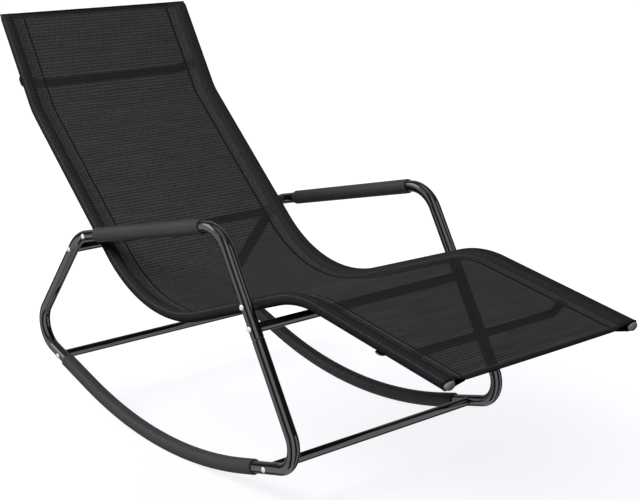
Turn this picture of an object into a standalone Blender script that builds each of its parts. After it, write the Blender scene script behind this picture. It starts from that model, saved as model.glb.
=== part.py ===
"""Outdoor rocking lounge chair: two bent-tube side frames on foam-covered rockers, four crossbars,
and an S-shaped mesh sling held on two rails."""

import math

import bmesh
import bpy
from mathutils import Vector

# Driving dimensions, in metres and degrees.
# A profile point is (y, z) in the side view: y runs to the rear and z up, from the rocker arc's middle.

FIT = 0.0003                    # gap left between pieces that touch
SIDES = 12                      # facets round a tube
BOLT_SIDES = 8                  # facets round a bolt and its hole
BEND_STEP = 18.0                # most that one facet of a tight bend turns
CURVE_STEP = 8.0                # most that one facet of a rail curve turns
ROCKER_STEP = 4.0               # turn of one facet of the rocker arc

# Side frames, each of an upper tube and a rocker tube
FRAME_WIDTH = 0.575             # between the centre lines of the two side frames
TUBE_RADIUS = 0.0125
TUBE_WALL = 0.0012
ROCKER_RADIUS = 1.004           # of the rocker arc, at the tube's centre line
REST_FLAT = 6.0                 # turn of the level facet where the foam is pressed flat on the floor
FRONT_ARC = 14.765              # turn from the arc's middle to its front end
REAR_ARC = 18.356               # and to its rear end
FRONT_STRAIGHT = 0.1956         # from the arc's front end to the corner of rocker and leg
REAR_STRAIGHT = 0.2474          # from the arc's rear end to the corner of rocker and rear upright
ARM_FRONT = (-0.191, 0.523)     # corner of armrest and leg
ARM_SLOPE = 13.36               # fall of the armrest to the rear
ARM_TAIL = 0.0057               # straight tube behind the rail bolt, before the rear bend
FRONT_FOOT_BEND = 0.054
REAR_FOOT_BEND = 0.060
ARM_REAR_BEND = 0.095
ARM_FRONT_BEND = 0.075
LEG_SEAM = 0.022                # below the seat crossbar, along the leg
REAR_SEAM = 0.0303              # in front of the rear lower crossbar, along the rocker
NECK_LENGTH = 0.048             # reduced tube end that plugs into the next tube
NECK_TAPER = 0.004

# Crossbars between the side frames
CROSSBAR_RADIUS = 0.0095
CROSSBAR_WALL = 0.0012
REAR_UPPER_BAR = 0.0097         # below the armrest's rear bend, along the upright
REAR_LOWER_BAR = 0.0368         # from the rear foot bend, along the rocker
SEAT_BAR = 0.0457               # below the rail bolt, along the leg
FRONT_LOWER_BAR = 0.0387        # from the front foot bend, along the rocker
INSERT_LENGTH = 0.018           # threaded plug in a crossbar's end

# Foam sleeves
FOAM_WALL = 0.0035
FOAM_EDGE = 0.0015              # rounding at a sleeve's ends
ARM_FOAM_FRONT = 0.0016         # from the end of the armrest's front bend
ARM_FOAM_REAR = 0.0342          # from the rail bolt's spacer
ROCKER_FOAM_FRONT = 0.0361      # from the side of the front lower crossbar
ROCKER_FOAM_REAR = 0.0123       # from the side of the rear lower crossbar

# Sling rails, each of a back rail and a seat rail
RAIL_RADIUS = 0.011
RAIL_WALL = 0.0012
RAIL_TOP = (0.6807, 0.8564)
HEAD_CORNER = (0.5603, 0.6542)
SEAT_CORNER = (0.1174, 0.2325)
KNEE_CORNER = (-0.3914, 0.4167)
RAIL_FOOT = (-0.7889, 0.3477)
HEAD_BEND = 0.14
SEAT_BEND = 0.318
KNEE_BEND = 0.23
RAIL_SEAM = 0.085               # from the armrest bolt, up the back
SPACER_LENGTH = 0.0100          # between a side frame and the rail's sleeve, at their closest
SPACER_RADIUS = 0.008
NUT_RADIUS = 0.0045
NUT_LENGTH = 0.012

# Mesh sling, a sleeve round each rail and a sheet between them
SLEEVE_WALL = 0.0009
SHEET_THICKNESS = 0.0010
HEM_WIDTH = 0.051               # from a rail's centre line to the inner stitch line
SHEET_SAG = 0.002
SLEEVE_TOP_LAP = 0.011          # how far the sleeve passes the rail at the head
SLEEVE_FOOT_LAP = 0.0           # and at the foot

# Bowed spreader bars behind the sling, their ends pressed flat
SPREADER_RADIUS = 0.0095
SPREADER_WALL = 0.0012
HEAD_SPREADER = 0.156           # from the rail's top end
CALF_SPREADER = 0.165           # from the rail's foot end
SPREADER_DROP = 0.026           # how far the middle stands clear of the ends
SPREADER_OVERHANG = 0.0105      # past the rail's centre line
SPREADER_SEAT = 0.018           # straight length of an end inside the rail's centre line
SPREADER_RUN = 0.034            # length of the slope from an end to the middle
SPREADER_BEND = 0.030
SPREADER_TIP = 0.008            # rounding of a flat end's corners
PRESSED_SLIT = 0.0006           # gap left between the walls of a flat end
PRESSED_EDGE = 1.6              # how soon a flat end's faces turn into its edges

# Bolts and plugs
BOLT_RADIUS = 0.003
BOLT_HEAD_RADIUS = 0.006
BOLT_HEAD_HEIGHT = 0.0038
BOLT_HEAD_RIM = 0.4             # share of the head's height before its dome
BOLT_HEAD_CROWN = 0.55          # top of the dome, as a share of the head's radius
BOLT_BITE = 0.014               # length of bolt inside its insert
SPREADER_BOLT_BITE = 0.005      # length of bolt past the rail's wall
CAP_DOME = 0.0100               # dome of a rail plug outside the rail
CAP_DEPTH = 0.014               # shaft of a tube plug inside the tube
CAP_RIM = 0.75                  # share of a rail plug's height before its edge turns in
CAP_CROWN = 0.8                 # its top, as a share of the rail's radius

# Derived sizes
TUBE_BORE = TUBE_RADIUS - TUBE_WALL
NECK_RADIUS = TUBE_BORE - FIT
CROSSBAR_BORE = CROSSBAR_RADIUS - CROSSBAR_WALL
RAIL_BORE = RAIL_RADIUS - RAIL_WALL
RAIL_NECK_RADIUS = RAIL_BORE - FIT
SLEEVE_BORE = RAIL_RADIUS + FIT
SLEEVE_RADIUS = SLEEVE_BORE + SLEEVE_WALL
SPREADER_BORE = SPREADER_RADIUS - SPREADER_WALL
PRESSED_THICKNESS = PRESSED_SLIT + 2 * SPREADER_WALL
PRESSED_WIDTH = math.pi * (SPREADER_RADIUS - SPREADER_WALL / 2)
FOAM_BORE = TUBE_RADIUS + FIT
FOAM_RADIUS = FOAM_BORE + FOAM_WALL
BOLT_HOLE = BOLT_RADIUS + FIT
NUT_HOLE = NUT_RADIUS + FIT
AXIS_X = Vector((1.0, 0.0, 0.0))


def corner_radius(radius, sides=SIDES):
    """Radius to the corners of a polygon with the area of a circle."""
    turn = 2 * math.pi / sides
    return radius * math.sqrt(turn / math.sin(turn))


def flat_radius(radius, sides=SIDES):
    """Distance from that polygon's centre to its flats."""
    return corner_radius(radius, sides) * math.cos(math.pi / sides)


TUBE_FLAT = flat_radius(TUBE_RADIUS)
SLEEVE_FLAT = flat_radius(SLEEVE_RADIUS)
FRAME_X = FRAME_WIDTH / 2
RAIL_X = FRAME_X - TUBE_FLAT - FIT - SPACER_LENGTH - FIT - SLEEVE_FLAT


# Plane geometry of the side view

def point(profile_point):
    return Vector((0.0, profile_point[0], profile_point[1]))


def towards(start, end, distance):
    """Point at a distance from start, on the line to end."""
    return start + (end - start).normalized() * distance


def crossing(a, b, c, d):
    """Point where line a-b meets line c-d in the side view."""
    u = b - a
    v = d - c
    t = ((c.y - a.y) * v.z - (c.z - a.z) * v.y) / (u.y * v.z - u.z * v.y)
    return a + u * t


def meeting(line, start, run):
    """Distance along a centre line to where it crosses the straight that runs from start."""
    across = Vector((0.0, -run.z, run.y))
    distance = 0.0
    for a, b in zip(line, line[1:]):
        near = (a - start).dot(across)
        far = (b - start).dot(across)
        place = a + (b - a) * (near / (near - far)) if near * far <= 0.0 and near != far else None
        if place and (place - start).dot(run) > 0.0:
            return distance + (place - a).length
        distance += (b - a).length
    raise ValueError("the centre line and the straight do not meet")


def place_on(line, distance):
    """Point at a distance along a centre line, and the line's direction there."""
    i = 0
    while i < len(line) - 2 and distance > (line[i + 1] - line[i]).length:
        distance -= (line[i + 1] - line[i]).length
        i += 1
    direction = (line[i + 1] - line[i]).normalized()
    return line[i] + direction * distance, direction


def trimmed(line, front, rear):
    """Centre line without a length at each end."""
    lengths = [(b - a).length for a, b in zip(line, line[1:])]
    total = sum(lengths)
    kept = [place_on(line, front)[0]]
    run = 0.0
    for length, place in zip(lengths, line[1:]):
        run += length
        if front + 2 * FOAM_EDGE < run < total - rear - 2 * FOAM_EDGE:
            kept.append(place)
    kept.append(place_on(line, total - rear)[0])
    return kept


def bend_reach(before, corner, after, radius):
    """Distance from a corner to each end of its bend."""
    turn = math.pi - (before - corner).angle(after - corner)
    return radius * math.tan(turn / 2)


def rounded(corners, radii, step):
    """Centre line through corners, each inner corner replaced by an arc of short facets."""
    line = [corners[0]]
    for before, corner, after, radius in zip(corners, corners[1:], corners[2:], radii):
        u = (before - corner).normalized()
        v = (after - corner).normalized()
        turn = math.pi - u.angle(v)
        reach = bend_reach(before, corner, after, radius)
        centre = corner + (u + v).normalized() * (radius / math.cos(turn / 2))
        start = corner + u * reach - centre
        side = corner + v * reach - centre
        side = (side - start * (side.dot(start) / start.length_squared)).normalized() * radius
        count = max(1, math.ceil(math.degrees(turn) / step))
        for i in range(count + 1):
            angle = turn * i / count
            line.append(centre + start * math.cos(angle) + side * math.sin(angle))
    line.append(corners[-1])
    return line


def along_slope(angle):
    """Direction to the rear at an angle above level."""
    return Vector((0.0, math.cos(angle), math.sin(angle)))


def tangent_corner(start, run, radius, end):
    """Corner of a straight and the straight to end, where a bend that turns down begins at start."""
    down = Vector((0.0, run.z, -run.y))
    centre = start + down * radius
    to_centre = centre - end
    spread = math.asin(radius / to_centre.length)
    rise = math.atan2(to_centre.z, to_centre.y) - spread
    return crossing(start, start + run, end, end + along_slope(rise))


def rocker_point(angle):
    """Point on the rocker arc, its angle measured to the rear from the arc's middle."""
    return Vector((0.0, ROCKER_RADIUS * math.sin(angle), ROCKER_RADIUS * (1 - math.cos(angle))))


front_tangent = -math.radians(FRONT_ARC)
rear_tangent = math.radians(REAR_ARC)
rocker_front = rocker_point(front_tangent)
rocker_rear = rocker_point(rear_tangent)
front_foot = rocker_front - along_slope(front_tangent) * FRONT_STRAIGHT
rear_foot = rocker_rear + along_slope(rear_tangent) * REAR_STRAIGHT
arm_front = point(ARM_FRONT)
rail_corners = [point(p) for p in (RAIL_TOP, HEAD_CORNER, SEAT_CORNER, KNEE_CORNER, RAIL_FOOT)]
rail_top, head_corner, seat_corner, knee_corner, rail_foot = rail_corners
rail_path = rounded(rail_corners, (HEAD_BEND, SEAT_BEND, KNEE_BEND), CURVE_STEP)


def rocker_arc():
    """Arc from the front straight to the rear one, with a level facet where the chair stands."""
    step = math.radians(ROCKER_STEP)
    flat = math.radians(REST_FLAT) / 2
    margin = step / 3
    front_count = int((-flat - front_tangent - margin) / step)
    rear_count = int((rear_tangent - margin - flat) / step)
    front = [-flat - i * step for i in range(front_count, -1, -1)]
    rear = [flat + i * step for i in range(rear_count + 1)]
    return [rocker_point(a) for a in [front_tangent] + front + rear + [rear_tangent]]


# Bolt places and tube joints in the side view
arm_run = along_slope(-math.radians(ARM_SLOPE))
leg_run = (arm_front - front_foot).normalized()
arm_bolt_run = meeting(rail_path, arm_front, arm_run)
arm_bolt = place_on(rail_path, arm_bolt_run)[0]
leg_bolt = place_on(rail_path, meeting(rail_path, front_foot, leg_run))[0]
arm_rear = tangent_corner(arm_bolt + arm_run * ARM_TAIL, arm_run, ARM_REAR_BEND, rear_foot)
seat_bar = leg_bolt - leg_run * SEAT_BAR
leg_seam = seat_bar - leg_run * LEG_SEAM
rocker_path = [front_foot] + rocker_arc() + [rear_foot]
rear_path = rocker_path[::-1]
upper_bar = bend_reach(arm_front, arm_rear, rear_foot, ARM_REAR_BEND) + REAR_UPPER_BAR
rear_bar = bend_reach(arm_rear, rear_foot, rocker_rear, REAR_FOOT_BEND) + REAR_LOWER_BAR
front_bar = bend_reach(arm_front, front_foot, rocker_front, FRONT_FOOT_BEND) + FRONT_LOWER_BAR
rear_seam = rear_bar + REAR_SEAM
crossbar_places = {
    "rear_upper": ("upper", towards(arm_rear, rear_foot, upper_bar), rear_foot - arm_rear),
    "rear_lower": ("upper", *place_on(rear_path, rear_bar)),
    "seat": ("upper", seat_bar, leg_run),
    "front_lower": ("rocker", *place_on(rocker_path, front_bar)),
}
spreader_places = {
    "head": (towards(rail_top, head_corner, HEAD_SPREADER), (head_corner - rail_top).normalized()),
    "calf": (towards(rail_foot, knee_corner, CALF_SPREADER), (rail_foot - knee_corner).normalized()),
}


# Mesh building

for old in list(bpy.data.objects):
    bpy.data.objects.remove(old, do_unlink=True)

chair = bpy.data.objects.new("chair", None)
bpy.context.scene.collection.objects.link(chair)
pieces = []


def material(name, colour, roughness, metallic=0.0):
    made = bpy.data.materials.new(name)
    made.use_nodes = True
    shader = made.node_tree.nodes["Principled BSDF"]
    shader.inputs["Base Color"].default_value = (*colour, 1.0)
    shader.inputs["Roughness"].default_value = roughness
    shader.inputs["Metallic"].default_value = metallic
    made.diffuse_color = (*colour, 1.0)
    return made


black_paint = material("black_paint", (0.010, 0.010, 0.011), 0.25)
black_foam = material("black_foam", (0.030, 0.033, 0.034), 0.80)
black_mesh = material("black_mesh", (0.022, 0.021, 0.023), 0.70)
black_plastic = material("black_plastic", (0.020, 0.020, 0.021), 0.45)
grey_plastic = material("grey_plastic", (0.130, 0.130, 0.135), 0.50)
bright_steel = material("bright_steel", (0.700, 0.690, 0.670), 0.25, 1.0)


ROUND = (0.0, 0.0, 0.0)


def ring(mesh, centre, up, side, radius, sides, press=ROUND):
    """Polygon of new vertices with flats facing up, down and to each side.
    press is (share by which it is pressed flat, thickness when flat, width when flat)."""
    reach = corner_radius(radius, sides)
    share, thickness, width = press
    loop = []
    for k in range(sides):
        angle = (k + 0.5) * 2 * math.pi / sides
        flat = max(-1.0, min(1.0, PRESSED_EDGE * math.cos(angle)))
        rise = reach * math.cos(angle) * (1 - share) + thickness / 2 * flat * share
        spread = math.sin(angle) * (reach * (1 - share) + width / 2 * share)
        loop.append(mesh.verts.new(centre + up * rise + side * spread))
    return loop


def bridge(mesh, first, second):
    """Faces between two rings of as many vertices."""
    count = len(first)
    for k in range(count):
        mesh.faces.new((first[k], first[(k + 1) % count], second[(k + 1) % count], second[k]))


def finish(name, mesh, finish_material, cutter=False):
    """Object of a closed mesh, carried by the chair's empty."""
    bmesh.ops.recalc_face_normals(mesh, faces=mesh.faces[:])
    data = bpy.data.meshes.new(name)
    mesh.to_mesh(data)
    mesh.free()
    data.shade_smooth()
    data.set_sharp_from_angle(angle=math.radians(40))
    made = bpy.data.objects.new(name, data)
    bpy.context.scene.collection.objects.link(made)
    made.parent = chair
    if cutter:
        made.hide_render = True
        made.display_type = "WIRE"
    else:
        data.materials.append(finish_material)
        pieces.append(made)
    return made


def sweep_rings(mesh, line, side, radii, sides, presses):
    """Rings square to a flat centre line, mitred where it turns. side is the plane's normal."""
    rings = []
    for i, centre in enumerate(line):
        into = (centre - line[i - 1]).normalized() if i else (line[1] - centre).normalized()
        out = (line[i + 1] - centre).normalized() if i + 1 < len(line) else into
        along = (into + out).normalized()
        up = side.cross(along) / along.dot(out)
        rings.append(ring(mesh, centre, up, side, radii[i], sides, presses[i] if presses else ROUND))
    return rings


def add_tube(mesh, line, side, outer, bore=None, sides=SIDES, presses=(None, None)):
    """Tube, or a solid bar without a bore. Radii, and presses of outside and bore, are one for each point."""
    rings = sweep_rings(mesh, line, side, outer, sides, presses[0])
    for first, second in zip(rings, rings[1:]):
        bridge(mesh, first, second)
    if bore is None:
        mesh.faces.new(rings[0])
        mesh.faces.new(rings[-1])
        return
    inner = sweep_rings(mesh, line, side, bore, sides, presses[1])
    for first, second in zip(inner, inner[1:]):
        bridge(mesh, first, second)
    bridge(mesh, rings[0], inner[0])
    bridge(mesh, rings[-1], inner[-1])


def tube(name, line, side, outer, bore, finish_material, presses=(None, None)):
    mesh = bmesh.new()
    add_tube(mesh, line, side, outer, bore, presses=presses)
    return finish(name, mesh, finish_material)


def turned(name, origin, axis, side, profile, finish_material, bore=None, sides=SIDES):
    """Turned piece. The profile is (distance along the axis, radius), and a bore runs right through."""
    mesh = bmesh.new()
    up = side.cross(axis)
    rings = [ring(mesh, origin + axis * s, up, side, r, sides) for s, r in profile]
    for first, second in zip(rings, rings[1:]):
        bridge(mesh, first, second)
    if bore is None:
        mesh.faces.new(rings[0])
        mesh.faces.new(rings[-1])
    else:
        ends = [ring(mesh, origin + axis * profile[i][0], up, side, bore, sides) for i in (0, -1)]
        bridge(mesh, *ends)
        bridge(mesh, rings[0], ends[0])
        bridge(mesh, rings[-1], ends[-1])
    return finish(name, mesh, finish_material)


def bars_cutter(name, bars, sides):
    """Cutter of straight bars, each given as (start, end, side, radius)."""
    mesh = bmesh.new()
    for start, end, side, radius in bars:
        add_tube(mesh, [start, end], side, [radius, radius], sides=sides)
    return finish(name, mesh, None, cutter=True)


def envelope(name, line, radius):
    """Cutter along a bent tube, larger than the tube by the fit."""
    mesh = bmesh.new()
    add_tube(mesh, line, AXIS_X, [radius + FIT] * len(line))
    return finish(name, mesh, None, cutter=True)


def cut(target, cutter):
    boolean = target.modifiers.new("cut", "BOOLEAN")
    boolean.operation = "DIFFERENCE"
    boolean.solver = "EXACT"
    boolean.object = cutter


def at_x(place, x):
    return Vector((x, place.y, place.z))


def hand(sign):
    return "right" if sign < 0 else "left"


# Side frames

envelopes = {}


def upper_frame_line(x):
    corners = [
        place_on(rear_path, rear_seam)[0],
        rear_foot,
        arm_rear,
        arm_front,
        leg_seam,
    ]
    line = rounded(corners, (REAR_FOOT_BEND, ARM_REAR_BEND, ARM_FRONT_BEND), BEND_STEP)
    return [at_x(p, x) for p in line]


def rocker_line(x):
    """Centre line and outer radii of a rocker tube, from its neck in the leg to its neck at the rear."""
    neck = (NECK_LENGTH, 0.0, -NECK_TAPER)
    leg = [leg_seam + leg_run * (s - FIT) for s in neck]
    tail = [place_on(rear_path, rear_seam + FIT - s)[0] for s in reversed(neck)]
    foot = rounded([leg[-1], front_foot, rocker_front], (FRONT_FOOT_BEND,), BEND_STEP)
    middle = foot[:-1] + rocker_arc() + [rear_foot]
    line = leg[:-1] + trimmed(middle, 0.0, rear_seam + FIT + NECK_TAPER) + tail[1:]
    radii = [TUBE_RADIUS] * len(line)
    radii[:2] = [NECK_RADIUS] * 2
    radii[-2:] = [NECK_RADIUS] * 2
    return [at_x(p, x) for p in line], radii


def through_bars(places, x, radius):
    """Straight cutters along X through a tube whose centre line is at x."""
    reach = TUBE_RADIUS * 2
    side = Vector((0.0, 0.0, 1.0))
    return [(at_x(p, x - reach), at_x(p, x + reach), side, radius) for p in places]


def side_frame(sign):
    x = sign * FRAME_X
    line = upper_frame_line(x)
    upper = tube(f"upper_frame_tube_{hand(sign)}", line, AXIS_X, [TUBE_RADIUS] * len(line),
                 [TUBE_BORE] * len(line), black_paint)
    envelopes["upper", sign] = envelope(f"upper_envelope_{hand(sign)}", line, TUBE_RADIUS)
    line, radii = rocker_line(x)
    rocker = tube(f"rocker_tube_{hand(sign)}", line, AXIS_X, radii,
                  [r - TUBE_WALL for r in radii], black_paint)
    envelopes["rocker", sign] = envelope(f"rocker_envelope_{hand(sign)}", line, TUBE_RADIUS)
    bars = [place for _, place, _ in crossbar_places.values()]
    holes = through_bars(bars + [arm_bolt, leg_bolt], x, BOLT_HOLE)
    drill = bars_cutter(f"frame_drill_{hand(sign)}", holes, BOLT_SIDES)
    cut(upper, drill)
    cut(rocker, drill)


def foam_sleeve(name, line):
    """Foam sleeve on a stretch of frame tube, its ends rounded over."""
    start = towards(line[0], line[1], FOAM_EDGE)
    end = towards(line[-1], line[-2], FOAM_EDGE)
    line = [line[0], start] + line[1:-1] + [end, line[-1]]
    outer = [FOAM_RADIUS] * len(line)
    outer[0] = outer[-1] = FOAM_RADIUS - FOAM_EDGE
    return tube(name, line, AXIS_X, outer, [FOAM_BORE] * len(line), black_foam)


def foam_sleeves(sign):
    x = sign * FRAME_X
    bend = bend_reach(arm_rear, arm_front, front_foot, ARM_FRONT_BEND)
    arm = trimmed([arm_front, arm_bolt], bend + ARM_FOAM_FRONT, SPACER_RADIUS + ARM_FOAM_REAR)
    foam_sleeve(f"armrest_foam_{hand(sign)}", [at_x(p, x) for p in arm])
    rocker = trimmed(rocker_path, front_bar + CROSSBAR_RADIUS + ROCKER_FOAM_FRONT,
                     rear_bar + CROSSBAR_RADIUS + ROCKER_FOAM_REAR)
    foam_sleeve(f"rocker_foam_{hand(sign)}", [at_x(p, x) for p in rocker])


def bolt(name, seat, axis, length):
    """Dome-headed bolt. Its head stands on the seat, and its shank runs the other way along the axis."""
    side = axis.orthogonal().normalized()
    profile = [
        (length, BOLT_RADIUS),
        (0.0, BOLT_RADIUS),
        (0.0, BOLT_HEAD_RADIUS),
        (-BOLT_HEAD_HEIGHT * BOLT_HEAD_RIM, BOLT_HEAD_RADIUS),
        (-BOLT_HEAD_HEIGHT, BOLT_HEAD_RADIUS * BOLT_HEAD_CROWN),
    ]
    return turned(name, seat, axis, side, profile, bright_steel, sides=BOLT_SIDES)


def crossbar(name, frame_tube, place, tube_direction):
    """Crossbar with ends coped to the side frames, a threaded plug in each end and its bolts."""
    side = tube_direction.normalized()
    ends = [at_x(place, -FRAME_X), at_x(place, FRAME_X)]
    bar = tube(f"{name}_crossbar", ends, side, [CROSSBAR_RADIUS] * 2, [CROSSBAR_BORE] * 2, black_paint)
    for sign in (-1, 1):
        cut(bar, envelopes[frame_tube, sign])
        inward = AXIS_X * -sign
        seat = at_x(place, sign * (FRAME_X - TUBE_FLAT - 2 * FIT))
        turned(f"{name}_insert_{hand(sign)}", seat, inward, side,
               [(0.0, CROSSBAR_BORE - FIT), (INSERT_LENGTH, CROSSBAR_BORE - FIT)], bright_steel, BOLT_HOLE)
        head = at_x(place, sign * (FRAME_X + TUBE_FLAT + FIT))
        bolt(f"{name}_bolt_{hand(sign)}", head, inward, 2 * TUBE_FLAT + 3 * FIT + BOLT_BITE)


# Sling rails

def under(along):
    """Direction square to a rail in the side view, to the back of the sling. along runs to the foot."""
    return Vector((0.0, -along.z, along.y))


def rail_lines():
    """Centre lines of the back rail and the seat rail, from the head down."""
    seam = arm_bolt_run - RAIL_SEAM
    length = sum((b - a).length for a, b in zip(rail_path, rail_path[1:]))
    return trimmed(rail_path, 0.0, length - seam), trimmed(rail_path, seam, 0.0)


def tube_cap(name, end, outward, bore, disc, finish_material):
    """Plug in a tube's end, with a domed disc outside."""
    profile = [
        (-CAP_DEPTH, bore - 2 * FIT),
        (FIT, bore - FIT),
        (FIT, disc),
        (FIT + CAP_DOME * CAP_RIM, disc),
        (FIT + CAP_DOME, disc * CAP_CROWN),
    ]
    side = AXIS_X if abs(outward.x) < 0.5 else outward.orthogonal().normalized()
    return turned(name, end, outward, side, profile, finish_material)


def rails(sign):
    x = sign * RAIL_X
    back_line, seat_line = rail_lines()
    back = tube(f"back_rail_{hand(sign)}", [at_x(p, x) for p in back_line], AXIS_X,
                [RAIL_RADIUS] * len(back_line), [RAIL_BORE] * len(back_line), black_paint)
    seam = seat_line[0]
    down = (seat_line[1] - seam).normalized()
    neck = [seam + down * (FIT + s) for s in (-NECK_LENGTH, 0.0, NECK_TAPER)]
    line = [at_x(p, x) for p in neck + seat_line[1:]]
    radii = [RAIL_RADIUS] * len(line)
    radii[:2] = [RAIL_NECK_RADIUS] * 2
    seat = tube(f"seat_rail_{hand(sign)}", line, AXIS_X, radii,
                [r - RAIL_WALL for r in radii], black_paint)
    sleeve = [at_x(p, x) for p in sling_line()]
    envelopes["sleeve", sign] = envelope(f"sleeve_envelope_{hand(sign)}", sleeve, SLEEVE_RADIUS)
    side = Vector((0.0, 0.0, 1.0))
    reach = 2 * RAIL_RADIUS * sign
    nut_holes = [(at_x(p, x), at_x(p, x + reach), side, NUT_HOLE) for p in (arm_bolt, leg_bolt)]
    screw_holes = [(at_x(p, x), at_x(p, x) + under(d) * 2 * RAIL_RADIUS, AXIS_X, BOLT_HOLE)
                   for p, d in spreader_places.values()]
    drill = bars_cutter(f"rail_drill_{hand(sign)}", nut_holes + screw_holes, BOLT_SIDES)
    cut(back, drill)
    cut(seat, drill)
    for end, before, place in ((rail_top, head_corner, "head"), (rail_foot, knee_corner, "foot")):
        outward = (end - before).normalized()
        tube_cap(f"{place}_rail_cap_{hand(sign)}", at_x(end, x), outward, RAIL_BORE, RAIL_RADIUS,
                 grey_plastic)


def rail_fixing(sign, name, place):
    """Bolt through a side frame, its saddle spacer, and the threaded nut in the rail."""
    inward = AXIS_X * -sign
    x = sign * FRAME_X
    head = at_x(place, x + sign * (TUBE_FLAT + FIT))
    nut_face = math.sqrt(flat_radius(RAIL_RADIUS) ** 2 - corner_radius(NUT_RADIUS, BOLT_SIDES) ** 2)
    nut_seat = at_x(place, sign * (RAIL_X + nut_face))
    bolt(f"{name}_rail_bolt_{hand(sign)}", head, inward, (head - nut_seat).length + NUT_LENGTH - FIT)
    turned(f"{name}_rail_nut_{hand(sign)}", nut_seat, inward, Vector((0.0, 0.0, 1.0)),
           [(0.0, NUT_RADIUS), (NUT_LENGTH, NUT_RADIUS)], bright_steel, BOLT_HOLE, BOLT_SIDES)
    spacer = turned(f"{name}_rail_spacer_{hand(sign)}", at_x(place, x), inward, Vector((0.0, 0.0, 1.0)),
                    [(0.0, SPACER_RADIUS), (FRAME_X - RAIL_X, SPACER_RADIUS)], black_plastic, BOLT_HOLE)
    cut(spacer, envelopes["upper", sign])
    cut(spacer, envelopes["sleeve", sign])


# Mesh sling

def sling_line():
    """Stations along the sling, from the head to the foot, each with its direction."""
    back, seat = rail_lines()
    line = back[:-1] + seat[1:]
    line[0] = towards(line[0], line[1], -SLEEVE_TOP_LAP)
    line[-1] = towards(line[-1], line[-2], -SLEEVE_FOOT_LAP)
    return line


def sleeve_and_sheet(mesh, centre, up):
    """One station of the sling: both sleeves' rings and the sheet's two faces between them."""
    station = {}
    for sign in (-1, 1):
        middle = at_x(centre, sign * RAIL_X)
        inboard = AXIS_X * -sign
        station["outer", sign] = ring(mesh, middle, inboard, up, SLEEVE_RADIUS, SIDES)
        station["bore", sign] = ring(mesh, middle, inboard, up, SLEEVE_BORE, SIDES)
    hem = RAIL_X - HEM_WIDTH
    columns = [-hem, -hem / 2, 0.0, hem / 2, hem]
    for name, lift, corner in (("top", SHEET_THICKNESS / 2, 0), ("bottom", -SHEET_THICKNESS / 2, -1)):
        row = [station["outer", -1][corner]]
        for x in columns:
            sag = SHEET_SAG * (1 - (x / hem) ** 2)
            row.append(mesh.verts.new(at_x(centre, x) + up * (lift - sag)))
        row.append(station["outer", 1][corner])
        station[name] = row
    return station


def sling():
    mesh = bmesh.new()
    line = sling_line()
    stations = []
    for i, centre in enumerate(line):
        into = (centre - line[i - 1]).normalized() if i else (line[1] - centre).normalized()
        out = (line[i + 1] - centre).normalized() if i + 1 < len(line) else into
        along = (into + out).normalized()
        stations.append(sleeve_and_sheet(mesh, centre, -under(along) / along.dot(out)))
    for first, second in zip(stations, stations[1:]):
        for sign in (-1, 1):
            bridge(mesh, first["bore", sign], second["bore", sign])
            outer = first["outer", sign], second["outer", sign]
            for k in range(SIDES - 1):
                mesh.faces.new((outer[0][k], outer[0][k + 1], outer[1][k + 1], outer[1][k]))
        for name in ("top", "bottom"):
            for k in range(len(first[name]) - 1):
                mesh.faces.new((first[name][k], first[name][k + 1], second[name][k + 1], second[name][k]))
    for end in (stations[0], stations[-1]):
        for sign in (-1, 1):
            bridge(mesh, end["outer", sign], end["bore", sign])
        for k in range(len(end["top"]) - 1):
            mesh.faces.new((end["top"][k], end["top"][k + 1], end["bottom"][k + 1], end["bottom"][k]))
    made = finish("sling", mesh, black_mesh)
    holes = []
    for sign in (-1, 1):
        x = sign * RAIL_X
        for p in (arm_bolt, leg_bolt):
            side = Vector((0.0, 0.0, 1.0))
            holes.append((at_x(p, x), at_x(p, x + sign * 2 * SLEEVE_RADIUS), side, BOLT_HOLE))
        for p, along in spreader_places.values():
            holes.append((at_x(p, x), at_x(p, x) + under(along) * 2 * SLEEVE_RADIUS, AXIS_X, BOLT_HOLE))
    cut(made, bars_cutter("sling_drill", holes, BOLT_SIDES))


def tipped(line):
    """Centre line with more points where the rounded corners of its ends are."""
    starts = [towards(line[0], line[1], SPREADER_TIP * share) for share in (0.15, 0.5, 1.0)]
    ends = [towards(line[-1], line[-2], SPREADER_TIP * share) for share in (1.0, 0.5, 0.15)]
    return line[:1] + starts + line[1:-1] + ends + line[-1:]


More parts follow.
